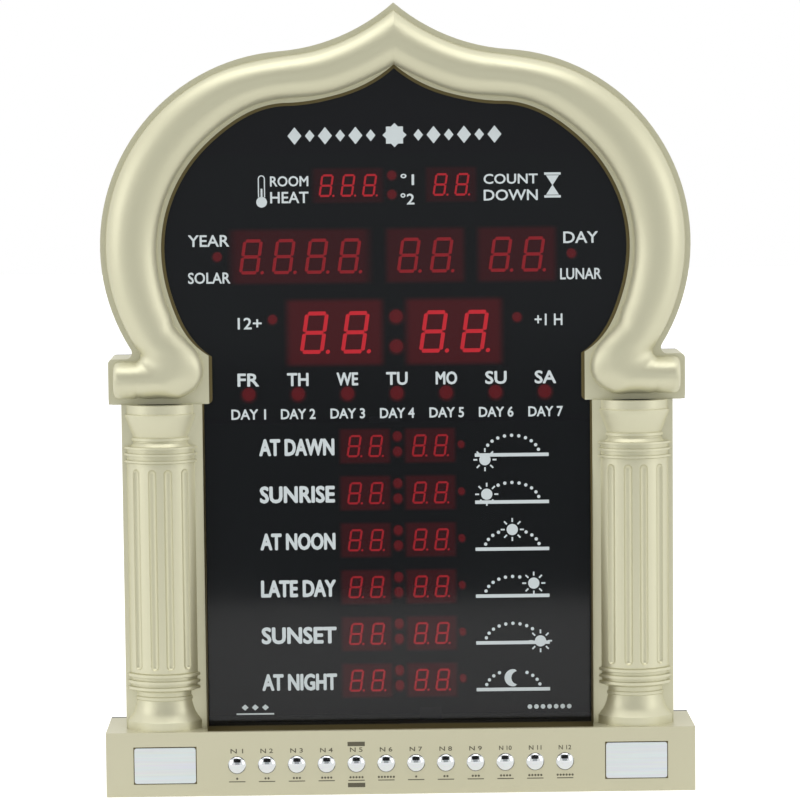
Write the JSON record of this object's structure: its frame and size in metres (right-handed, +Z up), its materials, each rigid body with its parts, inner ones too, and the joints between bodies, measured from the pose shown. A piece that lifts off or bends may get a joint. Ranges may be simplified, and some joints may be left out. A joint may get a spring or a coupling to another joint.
{
  "type": "arched wall clock",
  "caption": "Arched digital prayer-time clock with half columns, smoked window, red number displays and a row of push buttons in its base.",
  "frame": {"origin": "middle of the base's underside, under the centre of the box round the clock", "axes": "+Z up, -Y towards the viewer, +X to the viewer's right; the clock is symmetric about X = 0"},
  "size_m": [0.3738, 0.06, 0.5],
  "materials": {
    "pearl_frame": "pearl metallic lacquer",
    "pearl_base": "pearl metallic lacquer",
    "back_plastic": "fine grain",
    "smoked_window": "polished smoked acrylic",
    "silver_plate": "satin",
    "chrome_cap": "polished",
    "circuit_board": "solder resist",
    "display_module": "tinted face",
    "red_lamp": "tinted lens",
    "screw_steel": "zinc plated",
    "switch_black": "moulded",
    "cell_steel": "brushed",
    "speaker_steel": "zinc plated",
    "speaker_paper": "pressed paper",
    "cable_grey": "ribbed"
  },
  "bodies": {
    "case": {"arch_frame": "pearl_frame", "base_housing": "pearl_base", "button_board": "circuit_board", "button_cable": "cable_grey", "case_screws": "screw_steel", "cell_holder": "switch_black", "coin_cell": "cell_steel", "colon_lamps": "red_lamp", "controller_board": "circuit_board", "controller_chips": "switch_black", "controller_screws": "screw_steel", "countdown_digits": "display_module", "day_digits": "display_module", "display_board_screws": "screw_steel", "display_cable": "cable_grey", "display_drivers": "switch_black", "display_window": "smoked_window", "hour_digits": "display_module", "left_column": "pearl_frame", "left_plate": "silver_plate", "lower_display_board": "circuit_board", "minute_digits": "display_module", "mode_lamps": "red_lamp", "month_digits": "display_module", "power_jack": "switch_black", "rear_cover": "back_plastic", "right_column": "pearl_frame", "right_plate": "silver_plate", "row_1_digits": "display_module", "row_2_digits": "display_module", "row_3_digits": "display_module", "row_4_digits": "display_module", "row_5_digits": "display_module", "row_6_digits": "display_module", "row_lamps": "red_lamp", "speaker_basket": "speaker_steel", "speaker_cone": "speaker_paper", "speaker_magnet": "speaker_steel", "switch_board_screws": "screw_steel", "tact_switches": "switch_black", "temperature_digits": "display_module", "temperature_sensor": "switch_black", "upper_display_board": "circuit_board", "weekday_lamps": "red_lamp", "year_digits": "display_module"},
    "button_1": {"button_1": "chrome_cap"},
    "button_2": {"button_2": "chrome_cap"},
    "button_3": {"button_3": "chrome_cap"},
    "button_4": {"button_4": "chrome_cap"},
    "button_5": {"button_5": "chrome_cap"},
    "button_6": {"button_6": "chrome_cap"},
    "button_7": {"button_7": "chrome_cap"},
    "button_8": {"button_8": "chrome_cap"},
    "button_9": {"button_9": "chrome_cap"},
    "button_10": {"button_10": "chrome_cap"},
    "button_11": {"button_11": "chrome_cap"},
    "button_12": {"button_12": "chrome_cap"}
  },
  "joints": [
    {"name": "button_1_press", "type": "slide", "parent": "case", "child": "button_1", "axis": [0, 1, 0], "range_m": [0, 0.0008], "stiffness_N_per_m": 900},
    {"name": "button_2_press", "type": "slide", "parent": "case", "child": "button_2", "axis": [0, 1, 0], "range_m": [0, 0.0008], "stiffness_N_per_m": 900},
    {"name": "button_3_press", "type": "slide", "parent": "case", "child": "button_3", "axis": [0, 1, 0], "range_m": [0, 0.0008], "stiffness_N_per_m": 900},
    {"name": "button_4_press", "type": "slide", "parent": "case", "child": "button_4", "axis": [0, 1, 0], "range_m": [0, 0.0008], "stiffness_N_per_m": 900},
    {"name": "button_5_press", "type": "slide", "parent": "case", "child": "button_5", "axis": [0, 1, 0], "range_m": [0, 0.0008], "stiffness_N_per_m": 900},
    {"name": "button_6_press", "type": "slide", "parent": "case", "child": "button_6", "axis": [0, 1, 0], "range_m": [0, 0.0008], "stiffness_N_per_m": 900},
    {"name": "button_7_press", "type": "slide", "parent": "case", "child": "button_7", "axis": [0, 1, 0], "range_m": [0, 0.0008], "stiffness_N_per_m": 900},
    {"name": "button_8_press", "type": "slide", "parent": "case", "child": "button_8", "axis": [0, 1, 0], "range_m": [0, 0.0008], "stiffness_N_per_m": 900},
    {"name": "button_9_press", "type": "slide", "parent": "case", "child": "button_9", "axis": [0, 1, 0], "range_m": [0, 0.0008], "stiffness_N_per_m": 900},
    {"name": "button_10_press", "type": "slide", "parent": "case", "child": "button_10", "axis": [0, 1, 0], "range_m": [0, 0.0008], "stiffness_N_per_m": 900},
    {"name": "button_11_press", "type": "slide", "parent": "case", "child": "button_11", "axis": [0, 1, 0], "range_m": [0, 0.0008], "stiffness_N_per_m": 900},
    {"name": "button_12_press", "type": "slide", "parent": "case", "child": "button_12", "axis": [0, 1, 0], "range_m": [0, 0.0008], "stiffness_N_per_m": 900}
  ]
}
